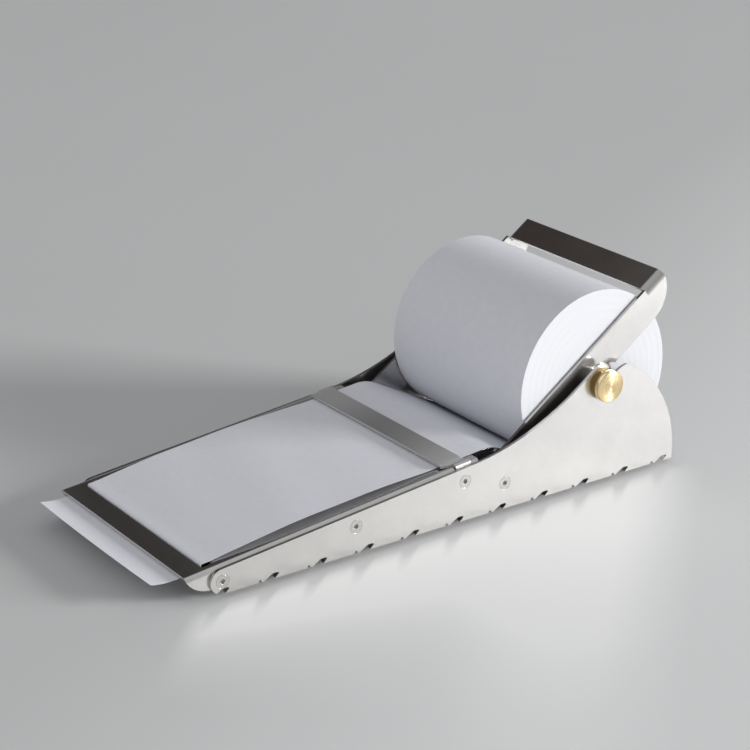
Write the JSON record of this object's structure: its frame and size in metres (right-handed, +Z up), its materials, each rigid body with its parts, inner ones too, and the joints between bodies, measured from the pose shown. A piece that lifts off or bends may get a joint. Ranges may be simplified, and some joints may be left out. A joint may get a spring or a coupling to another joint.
{
  "type": "note roll dispenser",
  "caption": "Desktop note-paper dispenser: folded steel stand with a sloping writing tray, tear bar, swinging bail and a paper roll on an axle with brass thumb nuts.",
  "frame": {"origin": "on the table plane, under the middle of the base, halfway between the side plates", "axes": "+X across the device towards its right-hand side plate, -Y the way the paper leaves, +Z up"},
  "size_m": [0.0992, 0.2297, 0.0787],
  "materials": {
    "sheet_steel": "fine satin brushed stainless sheet",
    "fastener_steel": "satin",
    "turned_steel": "turned, satin",
    "knob_brass": "fine turned",
    "bush_plastic": "matt",
    "core_card": "matt, wound",
    "mat_rubber": "matt",
    "paper_white": "smooth, matt"
  },
  "bodies": {
    "frame": {"rubber_mat": "mat_rubber", "body_shell": "sheet_steel", "writing_tray": "sheet_steel", "hold_down_bar": "sheet_steel", "axle_rod": "turned_steel", "paper_web": "paper_white", "axle_collar_right": "turned_steel", "axle_collar_left": "turned_steel", "pivot_spacer_right": "turned_steel", "pivot_spacer_left": "turned_steel", "nose_screw_right": "fastener_steel", "tray_screw_right": "fastener_steel", "hold_screw_right": "fastener_steel", "pivot_screw_right": "fastener_steel", "nose_screw_left": "fastener_steel", "tray_screw_left": "fastener_steel", "hold_screw_left": "fastener_steel", "pivot_screw_left": "fastener_steel", "nose_nut_right": "fastener_steel", "tray_nut_right": "fastener_steel", "hold_nut_right": "fastener_steel", "pivot_nut_right": "fastener_steel", "nose_nut_left": "fastener_steel", "tray_nut_left": "fastener_steel", "hold_nut_left": "fastener_steel", "pivot_nut_left": "fastener_steel"},
    "bail": {"paper_bail": "sheet_steel"},
    "roll": {"paper_roll": "paper_white", "roll_core": "core_card", "core_bush_right": "bush_plastic", "core_bush_left": "bush_plastic"},
    "nut_right": {"thumb_nut_right": "knob_brass"},
    "nut_left": {"thumb_nut_left": "knob_brass"}
  },
  "joints": [
    {"name": "bail_hinge", "type": "hinge", "parent": "frame", "child": "bail", "pos_m": [0, 0.0215, 0.0123], "axis": [1, 0, 0], "range_deg": [0, 65]},
    {"name": "roll_spin", "type": "hinge", "parent": "frame", "child": "roll", "pos_m": [0, 0.0679, 0.0411], "axis": [1, 0, 0], "continuous": true},
    {"name": "nut_turn_right", "type": "hinge", "parent": "frame", "child": "nut_right", "pos_m": [0.0459, 0.0679, 0.0411], "axis": [1, 0, 0], "continuous": true},
    {"name": "nut_turn_left", "type": "hinge", "parent": "frame", "child": "nut_left", "pos_m": [-0.0459, 0.0679, 0.0411], "axis": [1, 0, 0], "continuous": true}
  ]
}
